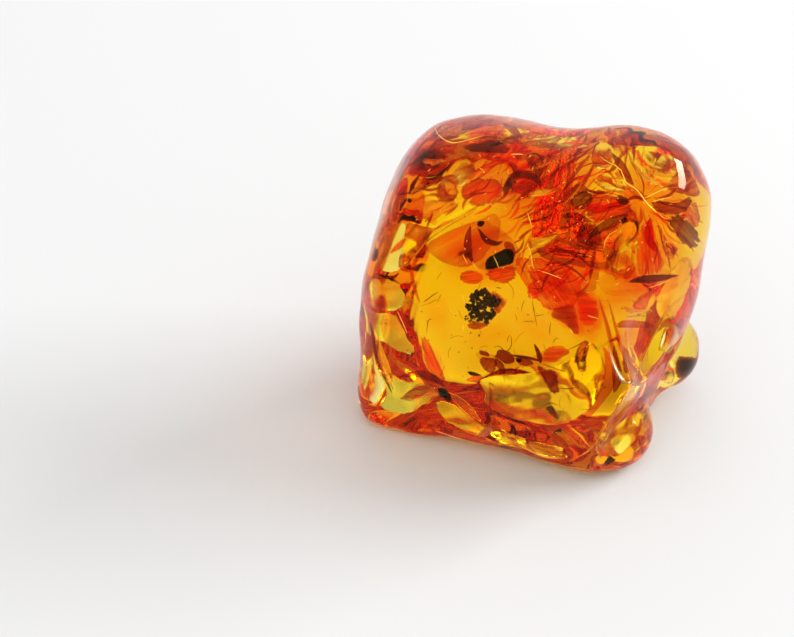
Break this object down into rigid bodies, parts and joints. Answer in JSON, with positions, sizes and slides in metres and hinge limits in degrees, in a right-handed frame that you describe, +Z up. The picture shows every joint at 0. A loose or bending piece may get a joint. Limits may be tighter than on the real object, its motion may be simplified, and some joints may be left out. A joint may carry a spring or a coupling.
{
  "type": "raw amber piece",
  "caption": "Polished lump of clear golden amber on a small ground flat, with a bark flake, a dark crumb and a plant scrap sealed inside.",
  "frame": {"origin": "on the ground flat, under the middle of the lump", "axes": "+Z up; -Y towards the sloping window face; +X towards the knob and the foot lobe"},
  "size_m": [0.0409, 0.0325, 0.0351],
  "materials": {
    "amber": "clear polished amber, golden where it is thin and deep orange where it is thick",
    "bark": "charred, blocky bark with a brown translucent margin",
    "crumb": "black and slightly glossy",
    "plant": "orange-brown, papery"
  },
  "bodies": {
    "root": {"amber_front": "amber", "amber_back": "amber", "bark_flake": "bark", "resin_crumb": "crumb", "plant_scrap": "plant"}
  },
  "joints": []
}
